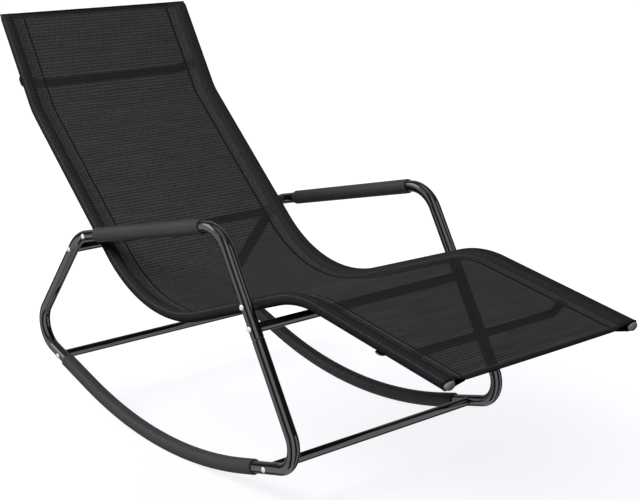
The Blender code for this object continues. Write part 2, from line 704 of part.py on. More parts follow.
def spreader(name, place, along):
    """Bowed bar across the back of the rails, its flat ends bolted on."""
    back = under(along)
    seat_depth = SLEEVE_FLAT + FIT + PRESSED_THICKNESS / 2
    end_x = RAIL_X + SPREADER_OVERHANG
    flat_x = RAIL_X - SPREADER_SEAT
    round_x = flat_x - SPREADER_RUN
    half = [(end_x, seat_depth), (flat_x, seat_depth), (round_x, seat_depth + SPREADER_DROP)]
    corners = [at_x(place, -x) + back * d for x, d in half]
    corners += [at_x(place, x) + back * d for x, d in reversed(half)]
    line = tipped(rounded(corners, [SPREADER_BEND] * 4, BEND_STEP))
    outside = []
    bore = []
    for spot in line:
        share = max(0.0, min(1.0, (abs(spot.x) - round_x) / SPREADER_RUN))
        into_tip = max(0.0, abs(spot.x) - end_x + SPREADER_TIP)
        rounding = SPREADER_TIP - math.sqrt(max(0.0, SPREADER_TIP ** 2 - into_tip ** 2))
        width = PRESSED_WIDTH - 2 * rounding
        outside.append((share, PRESSED_THICKNESS, width))
        bore.append((share, PRESSED_SLIT, width - 2 * SPREADER_WALL))
    bar = tube(f"{name}_spreader", line, along, [SPREADER_RADIUS] * len(line), [SPREADER_BORE] * len(line),
               black_paint, presses=(outside, bore))
    holes = []
    for sign in (-1, 1):
        seat = at_x(place, sign * RAIL_X)
        holes.append((seat + back * SLEEVE_RADIUS, seat + back * (seat_depth + 2 * PRESSED_THICKNESS), AXIS_X,
                      BOLT_HOLE))
        depth = seat_depth + PRESSED_THICKNESS / 2 + FIT
        bolt(f"{name}_spreader_bolt_{hand(sign)}", seat + back * depth, -back,
             depth - flat_radius(RAIL_RADIUS) + SPREADER_BOLT_BITE)
    cut(bar, bars_cutter(f"{name}_spreader_drill", holes, BOLT_SIDES))


def set_on_floor():
    """Centre the chair's box on the origin, with its lowest facet on the floor."""
    bpy.context.view_layer.update()
    corners = [p.matrix_world @ v.co for p in pieces for v in p.data.vertices]
    low_y = min(v.y for v in corners)
    high_y = max(v.y for v in corners)
    chair.location.y = -(low_y + high_y) / 2
    chair.location.z = -min(v.z for v in corners)
    bpy.context.view_layer.update()


for direction in (-1, 1):
    side_frame(direction)
    foam_sleeves(direction)
    rails(direction)
    rail_fixing(direction, "arm", arm_bolt)
    rail_fixing(direction, "leg", leg_bolt)
for bar_name, bar_place in crossbar_places.items():
    crossbar(bar_name, *bar_place)
for spreader_name, (spreader_place, spreader_along) in spreader_places.items():
    spreader(spreader_name, spreader_place, spreader_along)
sling()
set_on_floor()
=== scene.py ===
"""Looks of the outdoor rocking lounge chair: fine tubes, foam sleeves, a sewn mesh sling, bolts and plugs."""

import math

import bmesh
import bpy
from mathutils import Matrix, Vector


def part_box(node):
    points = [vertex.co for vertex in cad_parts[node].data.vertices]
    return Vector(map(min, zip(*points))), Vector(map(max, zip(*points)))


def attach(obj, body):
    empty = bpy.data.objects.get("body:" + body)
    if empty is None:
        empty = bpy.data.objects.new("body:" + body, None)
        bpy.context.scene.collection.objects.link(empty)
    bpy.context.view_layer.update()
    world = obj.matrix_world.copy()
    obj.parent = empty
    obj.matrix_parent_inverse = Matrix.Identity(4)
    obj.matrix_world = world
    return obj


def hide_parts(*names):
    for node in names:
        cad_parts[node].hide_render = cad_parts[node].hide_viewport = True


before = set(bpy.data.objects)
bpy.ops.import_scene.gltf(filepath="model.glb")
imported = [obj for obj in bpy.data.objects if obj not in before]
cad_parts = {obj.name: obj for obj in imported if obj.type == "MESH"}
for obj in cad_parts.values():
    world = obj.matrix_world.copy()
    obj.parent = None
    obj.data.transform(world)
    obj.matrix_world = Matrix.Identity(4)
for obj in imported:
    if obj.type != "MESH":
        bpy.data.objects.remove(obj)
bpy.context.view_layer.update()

# Sizes in metres and degrees.
# A profile point is (y, z) in the side view, from the middle of the rocker arc, as in the CAD model.
REST_SHIFT = Vector((0.0, 0.05192, 0.01474))    # from profile points to the shared frame
AXIS_X = Vector((1.0, 0.0, 0.0))
HANDS = {"right": -1, "left": 1}

# Frame tubes
TUBE_SIDES = 40
BEND_STEP = 3.0
FRAME_X = 0.2875
TUBE_RADIUS = 0.0128
NECK_RADIUS = 0.0119
SEAM_GAP = 0.0009
SEAM_EDGE = 0.0007
NECK_TAPER = 0.0024
NECK_SHOULDER = (0.001, 0.003)  # where a tube beside a neck has its full size
LEG_NECK = 0.02                 # length of a rocker tube's neck inside the leg
REAR_NECK = 0.024               # and inside the rear end of the upper frame
ROCKER_RADIUS = 1.004
ROCKER_POINTS = 48
ROCKER_STEP = 0.012
FOOT_STEPS = 14                 # of the rocker, up to where its foot bend has ended
FRONT_ARC = 14.765
REAR_ARC = 18.356
FRONT_FOOT = (-0.4450, 0.0830)
REAR_FOOT = (0.5510, 0.1290)
ARM_FRONT = (-0.1910, 0.5230)
ARM_REAR = (0.3375, 0.3975)
LEG_SEAM = (-0.3102, 0.3165)
REAR_SEAM = 0.153               # from the rear foot corner, along the rocker
FRONT_FOOT_BEND = 0.054
REAR_FOOT_BEND = 0.060
ARM_REAR_BEND = 0.095
ARM_FRONT_BEND = 0.075

# Crossbars, spreader bars and spacers
BAR_SIDES = 32
CROSSBAR_RADIUS = 0.0100
SPREADER_DEPTH = 0.0138         # from a rail's centre line to the middle of a flat spreader end
SPREADER_OVERHANG = 0.0105
SPREADER_TIP = 0.008
PRESSED_THICKNESS = 0.0030
PRESSED_WALL = 0.0006           # half a spreader's wall
PRESSED_EDGE = 1.6
TIP_SHARES = (0.03, 0.12, 0.3, 0.6, 1.0)
# A spreader's radius and the depth of its middle, and for each end
# the straight part inside the rail's centre line, the length of the slope and the bend.
BOWS = {"head": (0.0100, 0.026, {"right": (0.018, 0.034, 0.030), "left": (0.018, 0.034, 0.030)}),
        "calf": (0.0081, 0.0245, {"right": (0.018, 0.034, 0.030), "left": (0.005, 0.024, 0.016)})}
HEAD_SPREADER = 0.156           # from the rail's head end
CALF_SPREADER = 0.165           # from the rail's foot end
SPACER_RADIUS = 0.008
SADDLE_GAP = 0.0003
SADDLE_CLEARANCE = 0.0005       # between a spacer and the cloth round a rail

# Foam sleeves
FOAM_BORE = 0.0131
FOAM_RADIUS = 0.0164
FOAM_EDGE = 0.0022
FOAM_STEP = 0.008
FOAM_TURNS = (0, 30, 60, 90)    # of a sleeve's rounded ends
ROCKER_FOAM = (0.155, 0.1445)   # from the front foot corner and from the rear one, along the rocker
ROCKER_FOAM_STEP = 0.004

# Rails and sling
RAIL_X = 0.252485
RAIL_CORNERS = ((0.6807, 0.8564), (0.5603, 0.6542), (0.1174, 0.2325), (-0.3914, 0.4167),
                (-0.7889, 0.3477))
RAIL_BENDS = (0.14, 0.318, 0.23)
SLEEVE_TOP_LAP = 0.0117
FOOT_LAP = 0.0065               # by which the top of a sleeve reaches past its foot end
FOOT_LAP_RUN = 0.03             # length over which it grows
SLEEVE_CLOSE = 0.0130           # length over which a sleeve narrows to the flat head hem
HEAD_FULLNESS = 0.04            # share of its height that is left there
SHEET_COLUMNS = 26              # of cloth from the middle to the seam
WRAP_COLUMNS = 24               # and round a rail
CLOTH_THICKNESS = 0.0008
WRAP_RADIUS = 0.0124            # of the cloth's middle layer round a rail
WRAP_BOTTOM = 0.0117            # where the cloth lies on a spreader end
HEM_WIDTH = 0.0465              # from a rail's centre line to the seam where both layers meet
SEAM_DEPTH = 0.0018             # of the seam behind the rails' middle plane
SEAM_WIDTH = 0.0055
SEAM_STEP = 0.0004              # rise across the seam
SEAM_REACH = 0.55               # share of its width that is dark on either side of its line
LAYER_GAP = 0.0002
HEM_SHEER = 0.0125              # from a rail's centre line to where the hem turns sheer
SHEET_SAG = 0.0006
CLOTH_STEP = 0.006
HEAD_STEP = 0.0015              # of the first rows of cloth, where the sleeves close
HEAD_ROWS = 10
FOOT_ROWS = 4
HEAD_HEM = 0.012
FOOT_HEM = 0.0120
# Black strip along each end of the cloth
END_STRIP_WIDTH = 0.0030
END_STRIP_LIFT = 0.0005
END_STRIP_LAP = (0.0005, 0.0004)  # past the cloth's head end and past its foot end
END_STRIP_ROWS = 3
STITCH_ROW = 0.0135             # of thread on both layers of a hem, outward from the seam
STITCH_PITCH = 0.0052
STITCH_LENGTH = 0.0042
STITCH_RADIUS = 0.0008
STITCH_SIDES = 6
STITCH_SINK = 0.0003            # of its tips into the cloth
STITCH_WAIST = 0.28             # share of its length from the middle to where it narrows
END_STITCH = 0.0006             # from an end hem's edge to its row of thread
HIGHLIGHT_LINE_TURN = 34.0              # of the painted highlight line on a sleeve's outer side, above the level
# from the painted highlight line's middle to where it fades out
HIGHLIGHT_LINE_WIDTH = 0.0022

# Bolts and plugs
BOLT_SIDES = 36
BOLT_RADIUS = 0.003
BOLT_HEAD_RADIUS = 0.006
BOLT_HEAD_HEIGHT = 0.0038
BOLT_RIM = 0.3                  # share of a head's height below its dome
BOLT_EDGE = 0.3                 # and share of that rim at its broken edge
BOLT_TIP = (0.8, 0.0006)        # share of the radius at a shank's end, and the length of its chamfer
DOME_TURNS = (20, 40, 58, 70)
DOME_SPREAD = 0.0006            # by which the dome's top is wider than a round one's
BROKEN_EDGE = 0.97              # share of the radius at a head's or a plug's edge
SOCKET_RADIUS = 0.0022
SOCKET_DEPTH = 0.0022
SOCKET_LIP = (1.12, 0.0002)     # share of the radius at a socket's mouth, and the height of its edge
# Outline of a spreader bolt, as (distance along the axis, radius), and its rows that are hexagons.
SPREADER_BOLT = ((-0.0098, BOLT_RADIUS), (0.0, BOLT_RADIUS), (0.0, BOLT_HEAD_RADIUS * BROKEN_EDGE),
                 (0.0004, BOLT_HEAD_RADIUS), (0.0012, BOLT_HEAD_RADIUS), (0.0022, 0.0056), (0.0031, 0.0045),
                 (0.0038, 0.0026), (0.0036, SOCKET_RADIUS), (0.0016, SOCKET_RADIUS))
SPREADER_BOLT_SOCKET = (8, 9)
CAP_HEIGHT = 0.0100
HEAD_CAP_HEIGHT = 0.0030        # inside the closed sleeve
CAP_EDGE = 0.0036
CAP_EDGE_SHARE = 0.6            # most of a plug's height that its rounded edge takes
CAP_TURNS = (0, 25, 50, 75)
CAP_CROWN = 0.25                # rise of a plug's face, as a share of its edge
CROWN_SHARES = (0.6, 0.3)
CAP_SEAT = (0.0003, 0.0009)     # from the rail's end to a plug's rim and to where it has its full size
CAP_RADIUS = 0.0104
PLUG_RADIUS = 0.0093            # inside the rail
PLUG_DEPTH = 0.013
PLUG_TIP = (0.94, 0.001)        # share of the radius at a plug's inner end, and the length of its chamfer
CAP_SPREAD = 1.12               # a plug's head is a flat oval
CAP_FLAT = 0.92
CAP_FRONT = 0.0002              # from the rail's end to where the oval begins


# Plane geometry of the side view

def profile(place):
    return Vector((0.0, place[0], place[1])) + REST_SHIFT


def at_x(place, x):
    return Vector((x, place.y, place.z))


def towards(start, end, distance):
    return start + (end - start).normalized() * distance


def under(along):
    """Direction square to a rail in the side view, to the back of the sling. along runs to the foot."""
    return Vector((0.0, -along.z, along.y))


def rounded(corners, radii, step=BEND_STEP):
    """Centre line through corners, each inner corner replaced by an arc."""
    line = [corners[0]]
    for before, corner, after, radius in zip(corners, corners[1:], corners[2:], radii):
        u = (before - corner).normalized()
        v = (after - corner).normalized()
        turn = math.pi - u.angle(v)
        reach = radius * math.tan(turn / 2)
        centre = corner + (u + v).normalized() * (radius / math.cos(turn / 2))
        start = corner + u * reach - centre
        side = corner + v * reach - centre
        side = (side - start * (side.dot(start) / start.length_squared)).normalized() * radius
        count = max(2, math.ceil(math.degrees(turn) / step))
        for i in range(count + 1):
            angle = turn * i / count
            line.append(centre + start * math.cos(angle) + side * math.sin(angle))
    line.append(corners[-1])
    return line


def lengths_along(line):
    """Distance of each point of a line from its start."""
    runs = [0.0]
    for a, b in zip(line, line[1:]):
        runs.append(runs[-1] + (b - a).length)
    return runs


def stretch(line, start, end, step):
    """Evenly spaced points of a line between two distances from its start."""
    runs = lengths_along(line)
    count = max(1, round((end - start) / step))
    points = []
    k = 0
    for i in range(count + 1):
        run = start + (end - start) * i / count
        while k < len(line) - 2 and run > runs[k + 1]:
            k += 1
        share = (run - runs[k]) / (runs[k + 1] - runs[k])
        points.append(line[k].lerp(line[k + 1], share))
    return points


def rocker_point(angle):
    return profile((ROCKER_RADIUS * math.sin(angle), ROCKER_RADIUS * (1 - math.cos(angle))))


def rocker_path():
    """Centre line of a rocker, from the front foot corner to the rear one."""
    first = -math.radians(FRONT_ARC)
    last = math.radians(REAR_ARC)
    arc = [rocker_point(first + (last - first) * i / ROCKER_POINTS) for i in range(ROCKER_POINTS + 1)]
    return [profile(FRONT_FOOT)] + arc + [profile(REAR_FOOT)]


# Mesh building

def ring(mesh, centre, up, side, radius, sides, press=(0.0, 0.0)):
    """Round ring. press is (share by which it is pressed flat, width when flat)."""
    share, width = press
    loop = []
    for k in range(sides):
        angle = 2 * math.pi * k / sides
        flat = max(-1.0, min(1.0, PRESSED_EDGE * math.cos(angle)))
        rise = radius * math.cos(angle) * (1 - share) + PRESSED_THICKNESS / 2 * flat * share
        spread = math.sin(angle) * (radius * (1 - share) + width / 2 * share)
        loop.append(mesh.verts.new(centre + up * rise + side * spread))
    return loop


def bridge(mesh, first, second):
    count = len(first)
    for k in range(count):
        mesh.faces.new((first[k], first[(k + 1) % count], second[(k + 1) % count], second[k]))


def close(mesh, loop):
    """Fan of faces over a ring's mouth."""
    centre = mesh.verts.new(sum((v.co for v in loop), Vector()) / len(loop))
    for k in range(len(loop)):
        mesh.faces.new((loop[k], loop[(k + 1) % len(loop)], centre))


def sweep(mesh, line, side, radii, sides, presses=None):
    """Rings square to a flat centre line, mitred where it turns. side is the plane's normal."""
    rings = []
    for i, centre in enumerate(line):
        into = (centre - line[i - 1]).normalized() if i else (line[1] - centre).normalized()
        out = (line[i + 1] - centre).normalized() if i + 1 < len(line) else into
        along = (into + out).normalized()
        up = side.cross(along) / along.dot(out)
        rings.append(ring(mesh, centre, up, side, radii[i], sides, presses[i] if presses else (0.0, 0.0)))
    for first, second in zip(rings, rings[1:]):
        bridge(mesh, first, second)
    return rings


def piece(name, mesh, material, nodes, sharp=40):
    """Object of a mesh, which rides on the chair and stands for CAD nodes."""
    bmesh.ops.recalc_face_normals(mesh, faces=mesh.faces[:])
    data = bpy.data.meshes.new(name)
    mesh.to_mesh(data)
    mesh.free()
    data.shade_smooth()
    data.set_sharp_from_angle(angle=math.radians(sharp))
    made = bpy.data.objects.new(name, data)
    bpy.context.scene.collection.objects.link(made)
    for one in material if isinstance(material, tuple) else (material,):
        data.materials.append(one)
    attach(made, "root")
    if nodes:
        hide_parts(*nodes)
    return made


def bar(name, line, side, radii, sides, material, nodes, presses=None):
    """Closed bar along a flat centre line."""
    mesh = bmesh.new()
    rings = sweep(mesh, line, side, radii, sides, presses)
    close(mesh, rings[0])
    close(mesh, rings[-1])
    return piece(name, mesh, material, nodes)


def turned(name, origin, axis, outline, sides, material, nodes, corners=()):
    """Turned piece. The outline is (distance along the axis, radius); rows in corners are hexagons."""
    mesh = bmesh.new()
    side = axis.orthogonal().normalized()
    up = side.cross(axis)
    rings = []
    for row, (s, radius) in enumerate(outline):
        loop = []
        for k in range(sides):
            angle = 2 * math.pi * k / sides
            reach = radius
            if row in corners:
                reach = radius / math.cos(math.fmod(angle, math.pi / 3) - math.pi / 6)
            loop.append(mesh.verts.new(origin + axis * s
                                       + (up * math.cos(angle) + side * math.sin(angle)) * reach))
        rings.append(loop)
    for first, second in zip(rings, rings[1:]):
        bridge(mesh, first, second)
    close(mesh, rings[0])
    close(mesh, rings[-1])
    return piece(name, mesh, material, nodes)


def saddle_bar(name, place, radius, ends, sides, material, nodes):
    """Bar along X whose ends are coped. An end is (tube's x, tube's radius, tube's direction)."""
    mesh = bmesh.new()
    loops = []
    for x, tube_radius, direction in ends:
        across = direction.normalized().cross(AXIS_X)
        middle = sum(end[0] for end in ends) / 2
        back = math.copysign(1.0, middle - x)
        loop = []
        for k in range(sides):
            angle = 2 * math.pi * k / sides
            offset = Vector((0.0, math.cos(angle), math.sin(angle))) * radius
            depth = math.sqrt(tube_radius ** 2 - offset.dot(across) ** 2) + SADDLE_GAP
            loop.append(mesh.verts.new(at_x(place, x + back * depth) + offset))
        loops.append(loop)
    bridge(mesh, *loops)
    close(mesh, loops[0])
    close(mesh, loops[1])
    return piece(name, mesh, material, nodes)


# Node materials

def node(tree, kind, inputs=None, **settings):
    """New shader node. Inputs are values, or sockets to link."""
    made = tree.nodes.new("ShaderNode" + kind)
    for name, value in settings.items():
        setattr(made, name, value)
    for key, value in (inputs or {}).items():
        if isinstance(value, bpy.types.NodeSocket):
            tree.links.new(value, made.inputs[key])
        else:
            made.inputs[key].default_value = value
    return made


def calc(tree, operation, a, b=0.0, c=0.0):
    return node(tree, "Math", {0: a, 1: b, 2: c}, operation=operation).outputs[0]


def between(tree, value, first, last, low, high):
    """Smooth step from one value to another."""
    return node(tree, "MapRange", {"Value": value, "From Min": first, "From Max": last, "To Min": low,
                                   "To Max": high}, interpolation_type="SMOOTHSTEP").outputs[0]


def scaled(tree, colour, factor):
    return node(tree, "VectorMath", {0: colour, "Scale": factor}, operation="SCALE").outputs[0]


def ramp(tree, factor, stops):
    """Value between colour stops, each (position, grey or colour)."""
    made = node(tree, "ValToRGB", {0: factor})
    line = made.color_ramp
    while len(line.elements) < len(stops):
        line.elements.new(0.5)
    for element, (position, colour) in zip(line.elements, stops):
        element.position = position
        element.color = (*colour, 1.0) if isinstance(colour, tuple) else (colour, colour, colour, 1.0)
    return made.outputs[0]


def start_material(name, sockets):
    made = bpy.data.materials.new(name)
    made.use_nodes = True
    tree = made.node_tree
    shader = tree.nodes["Principled BSDF"]
    for socket, value in sockets.items():
        shader.inputs[socket].default_value = value
    return made, tree, shader


def noise(tree, scale, detail=2.0, where=None):
    """Noise in metres, on the object's own coordinates."""
    where = where or node(tree, "TexCoord").outputs["Object"]
    return node(tree, "TexNoise", {"Vector": where, "Scale": scale, "Detail": detail}).outputs["Fac"]


BROAD_GRAIN = 40                # times as coarse as the fine grain


def speckled(name, dark, light, grain, rough, bump, sockets):
    """Material whose colour, roughness and surface all vary with a fine grain. bump is (strength, depth)."""
    made, tree, shader = start_material(name, sockets)
    fine = noise(tree, grain, 3.0)
    broad = noise(tree, grain / BROAD_GRAIN)
    mixed = calc(tree, "MULTIPLY_ADD", fine, 0.5, calc(tree, "MULTIPLY", broad, 0.5))
    tree.links.new(ramp(tree, mixed, ((0.3, dark), (0.7, light))), shader.inputs["Base Color"])
    tree.links.new(ramp(tree, mixed, ((0.3, rough[0]), (0.7, rough[1]))), shader.inputs["Roughness"])
    raised = node(tree, "Bump", {"Height": fine, "Strength": bump[0], "Distance": bump[1]})
    tree.links.new(raised.outputs[0], shader.inputs["Normal"])
    return made


black_paint = speckled("black_paint", dark=(0.0038, 0.0036, 0.0038), light=(0.0060, 0.0057, 0.0060), grain=500.0,
                       rough=(0.06, 0.09), bump=(0.012, 0.0002), sockets={"Specular IOR Level": 1.0})
black_foam = speckled("black_foam", dark=(0.0215, 0.0219, 0.0238), light=(0.0310, 0.0315, 0.0339), grain=1400.0,
                      rough=(0.46, 0.58), bump=(0.22, 0.0004), sockets={"Specular IOR Level": 0.3})
grey_plastic = speckled("grey_plastic", dark=(0.115, 0.115, 0.120), light=(0.150, 0.150, 0.156), grain=1100.0,
                        rough=(0.42, 0.55), bump=(0.12, 0.0002), sockets={})
black_plastic = speckled("black_plastic", dark=(0.010, 0.010, 0.0105), light=(0.016, 0.016, 0.0165), grain=1100.0,
                         rough=(0.40, 0.52), bump=(0.10, 0.0002), sockets={"Specular IOR Level": 0.4})
bright_steel = speckled("bright_steel", dark=(0.82, 0.81, 0.80), light=(0.94, 0.93, 0.92), grain=1600.0,
                        rough=(0.22, 0.34), bump=(0.06, 0.0001), sockets={"Metallic": 0.55})

# Weave: pitches in metres, scales of noise and shares of the weave's height
RIB_PITCH = 0.0082
RIB_HEIGHT = 0.27
BEAD_PITCH = 0.0062
BEAD_HEIGHT = 0.22
GRAIN = (190.0, 0.85)           # scale and share
PATCHES = (45.0, 0.6)           # where the ribs are stronger or weaker
SLUBS = (75.0, 0.4)             # thick stretches of yarn
SLUB_STRETCH = 0.12             # by which they are drawn out along the ribs
WEAVE_DEPTH = 0.0008            # of the surface
CLOTH_GREEN = 0.9               # share of green in the cloth's black
HIGHLIGHT_LINE_GAIN = 1.2               # by which the painted highlight line is lighter
LEG_REST = (1.26, 1.42)         # distances along the cloth between which the leg rest begins
MESH_ON_LEG = (0.16, 0.3, 0.27)     # changes there: stronger ribs, stronger slubs, and painted shade that darkens the colour
SLEEVE_ON_LEG = (-0.14, 0.0, 0.30)
HEM_ON_LEG = (-0.14, 0.0, 0.30)
SEAM_ON_LEG = (0.0, 0.0, 0.0)


def woven(name, dark, light, relief, on_leg, sheer=None, highlight_line=None):
    """Weave in the cloth's own flat coordinates: ribs across its width, beaded by the yarns along it.
    on_leg changes it on the leg rest, where it also paints shade by darkening the colour. sheer is the cloth's
    cover (where it is thin, where it is thick). highlight_line is the distance from the middle at which a painted
    highlight line runs along a sleeve."""
    made, tree, shader = start_material(name, {"Specular IOR Level": 0.3, "IOR": 1.12})
    rib_gain, slub_gain, leg_shade = on_leg
    flat = node(tree, "SeparateXYZ", {0: node(tree, "UVMap", uv_map="flat").outputs[0]})
    rib = calc(tree, "SINE", calc(tree, "MULTIPLY", flat.outputs["Y"], 2 * math.pi / RIB_PITCH))
    shift = calc(tree, "MULTIPLY", flat.outputs["Y"], math.pi / RIB_PITCH)
    bead = calc(tree, "SINE", calc(tree, "MULTIPLY_ADD", flat.outputs["X"], 2 * math.pi / BEAD_PITCH, shift))
    grain = calc(tree, "SUBTRACT", noise(tree, GRAIN[0]), 0.5)
    patch = calc(tree, "SUBTRACT", noise(tree, PATCHES[0]), 0.5)
    leg_rest = node(tree, "MapRange", {"Value": flat.outputs["Y"], "From Min": LEG_REST[0],
                                       "From Max": LEG_REST[1]}).outputs[0]
    rib_height = calc(tree, "MULTIPLY_ADD", leg_rest, rib_gain, RIB_HEIGHT)
    strength = calc(tree, "MULTIPLY_ADD", patch, PATCHES[1], rib_height)
    weave = calc(tree, "MULTIPLY_ADD", rib, strength, 0.5)
    weave = calc(tree, "MULTIPLY_ADD", bead, BEAD_HEIGHT, weave)
    weave = calc(tree, "MULTIPLY_ADD", grain, GRAIN[1], weave)
    drawn = calc(tree, "MULTIPLY", flat.outputs["X"], SLUB_STRETCH)
    bands = node(tree, "CombineXYZ", {0: drawn, 1: flat.outputs["Y"]}).outputs[0]
    slub = calc(tree, "SUBTRACT", noise(tree, SLUBS[0], 1.0, bands), 0.5)
    slub_share = calc(tree, "MULTIPLY_ADD", leg_rest, slub_gain, SLUBS[1])
    weave = calc(tree, "MULTIPLY_ADD", slub, slub_share, weave)
    colour = ramp(tree, weave, ((0.05, dark), (0.95, light)))
    # painted shade: the colour is darker on the leg rest
    colour = scaled(tree, colour, calc(tree, "MULTIPLY_ADD", leg_rest, -leg_shade, 1.0))
    # painted highlight: a lighter line along the sleeve's outer side
    if highlight_line:
        aside = calc(tree, "ABSOLUTE", flat.outputs["X"])
        off = calc(tree, "ABSOLUTE", calc(tree, "SUBTRACT", aside, highlight_line))
        near = between(tree, off, HIGHLIGHT_LINE_WIDTH, 0.0, 0.0, HIGHLIGHT_LINE_GAIN)
        colour = scaled(tree, colour, calc(tree, "ADD", near, 1.0))
    tree.links.new(colour, shader.inputs["Base Color"])
    if sheer:
        cover = node(tree, "MapRange", {"Value": weave, "To Min": sheer[1], "To Max": sheer[0]}).outputs[0]
        tree.links.new(cover, shader.inputs["Alpha"])
    raised = node(tree, "Bump", {"Height": weave, "Strength": relief, "Distance": WEAVE_DEPTH})
    tree.links.new(raised.outputs[0], shader.inputs["Normal"])
    tree.links.new(ramp(tree, weave, ((0.0, 0.85), (1.0, 0.7))), shader.inputs["Roughness"])
    return made


def black_cloth(name, dark, light, relief, on_leg, sheer=None, highlight_line=None):
    """Cloth of a slightly purple black, between two greys."""
    return woven(name, (dark, dark * CLOTH_GREEN, dark), (light, light * CLOTH_GREEN, light), relief, on_leg,
                 sheer, highlight_line)


# distance across the cloth to the painted highlight line on a sleeve's outer side
highlight_line_run = RAIL_X - HEM_WIDTH + math.sqrt(HEM_WIDTH ** 2 - WRAP_RADIUS ** 2) + WRAP_RADIUS * (
    math.pi - math.radians(HIGHLIGHT_LINE_TURN) - math.acos(WRAP_RADIUS / HEM_WIDTH))
mesh_cloth = black_cloth("mesh_cloth", 0.0146, 0.0242, 0.35, MESH_ON_LEG, sheer=(0.820, 0.935))
sleeve_cloth = black_cloth("sleeve_cloth", 0.0130, 0.0230, 0.20, SLEEVE_ON_LEG, highlight_line=highlight_line_run)
seam_cloth = black_cloth("seam_cloth", 0.008, 0.015, 0.3, SEAM_ON_LEG)
hem_cloth = black_cloth("hem_cloth", 0.0240, 0.0410, 0.30, HEM_ON_LEG, sheer=(0.64, 0.73))
end_strip_cloth = black_cloth("end_strip_cloth", 0.003, 0.007, 0.2, SEAM_ON_LEG)
thread = speckled("thread", dark=(0.040, 0.036, 0.040), light=(0.060, 0.054, 0.060), grain=2500.0,
                  rough=(0.6, 0.75), bump=(0.3, 0.0002), sockets={"Specular IOR Level": 0.2})


# Side frames

def frame_tubes(hand, sign):
    x = sign * FRAME_X
    rocker = rocker_path()
    run = lengths_along(rocker)[-1]
    seam = stretch(rocker, run - REAR_SEAM, run, 1.0)[0]
    corners = [seam, profile(REAR_FOOT), profile(ARM_REAR), profile(ARM_FRONT), profile(LEG_SEAM)]
    line = rounded(corners, (REAR_FOOT_BEND, ARM_REAR_BEND, ARM_FRONT_BEND))
    line = [line[0], towards(line[0], line[1], SEAM_EDGE)] + line[1:-1] + [
        towards(line[-1], line[-2], SEAM_EDGE), line[-1]]
    radii = [TUBE_RADIUS] * len(line)
    radii[0] = radii[-1] = TUBE_RADIUS - SEAM_EDGE
    bar(f"upper_frame_{hand}", [at_x(p, x) for p in line], AXIS_X, radii, TUBE_SIDES, black_paint,
        [f"upper_frame_tube_{hand}"])

    leg_top = profile(LEG_SEAM)
    foot = profile(FRONT_FOOT)
    down = (foot - leg_top).normalized()
    near, full = NECK_SHOULDER
    neck = [leg_top + down * s for s in (-LEG_NECK, SEAM_GAP, NECK_TAPER, NECK_TAPER + near, NECK_TAPER + full)]
    arc = stretch(rocker, 0.0, run - REAR_SEAM - NECK_TAPER, ROCKER_STEP)
    start = rounded([neck[-1], foot, arc[FOOT_STEPS]], (FRONT_FOOT_BEND,))
    ahead = (arc[-1] - arc[-2]).normalized()
    tail = [arc[-1] + ahead * s for s in (-full, -near, 0.0, NECK_TAPER - SEAM_GAP, REAR_NECK)]
    line = neck[:-1] + start[:-1] + arc[FOOT_STEPS:-1] + tail
    radii = [TUBE_RADIUS] * len(line)
    radii[:2] = [NECK_RADIUS] * 2
    radii[-2:] = [NECK_RADIUS] * 2
    bar(f"rocker_{hand}", [at_x(p, x) for p in line], AXIS_X, radii, TUBE_SIDES, black_paint,
        [f"rocker_tube_{hand}"])


def foam_sleeve(name, line, node_name):
    """Foam sleeve with soft ends, pressed flat where it meets the floor."""
    mesh = bmesh.new()
    total = lengths_along(line)[-1]
    edge = [FOAM_EDGE * (1 - math.cos(math.radians(a))) for a in FOAM_TURNS]
    starts = [stretch(line, s, total, total)[0] for s in edge]
    middle = stretch(line, 2 * FOAM_EDGE, total - 2 * FOAM_EDGE, FOAM_STEP)
    ends = [stretch(line, total - s, total, total)[0] for s in reversed(edge[1:])] + [line[-1]]
    route = starts + middle + ends
    drop = [FOAM_EDGE * (1 - math.sin(math.radians(a))) for a in FOAM_TURNS]
    outer = [FOAM_RADIUS] * len(route)
    outer[:len(drop)] = [FOAM_RADIUS - d for d in drop]
    outer[-len(drop):] = [FOAM_RADIUS - d for d in reversed(drop)]
    outside = sweep(mesh, route, AXIS_X, outer, TUBE_SIDES)
    inside = sweep(mesh, route, AXIS_X, [FOAM_BORE] * len(route), TUBE_SIDES)
    bridge(mesh, outside[0], inside[0])
    bridge(mesh, outside[-1], inside[-1])
    for vertex in mesh.verts:
        vertex.co.z = max(vertex.co.z, 0.0)
    made = piece(name, mesh, black_foam, [node_name])


def box_middle(name):
    low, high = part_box(name)
    return (low + high) / 2


def foam_sleeves(hand, sign):
    x = sign * FRAME_X
    arm = [profile(ARM_FRONT), profile(ARM_REAR)]
    low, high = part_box(f"armrest_foam_{hand}")
    slope = (arm[1] - arm[0]).normalized()
    length = (high.y - low.y - 2 * FOAM_RADIUS * abs(slope.z)) / slope.y
    middle = at_x((low + high) / 2, x)
    foam_sleeve(f"armrest_sleeve_{hand}", [middle - slope * length / 2, middle + slope * length / 2],
                f"armrest_foam_{hand}")
    path = [at_x(p, x) for p in rocker_path()]
    run = lengths_along(path)[-1]
    line = stretch(path, ROCKER_FOAM[0], run - ROCKER_FOAM[1], ROCKER_FOAM_STEP)
    foam_sleeve(f"rocker_sleeve_{hand}", line, f"rocker_foam_{hand}")


# Crossbars, spacers and bolts

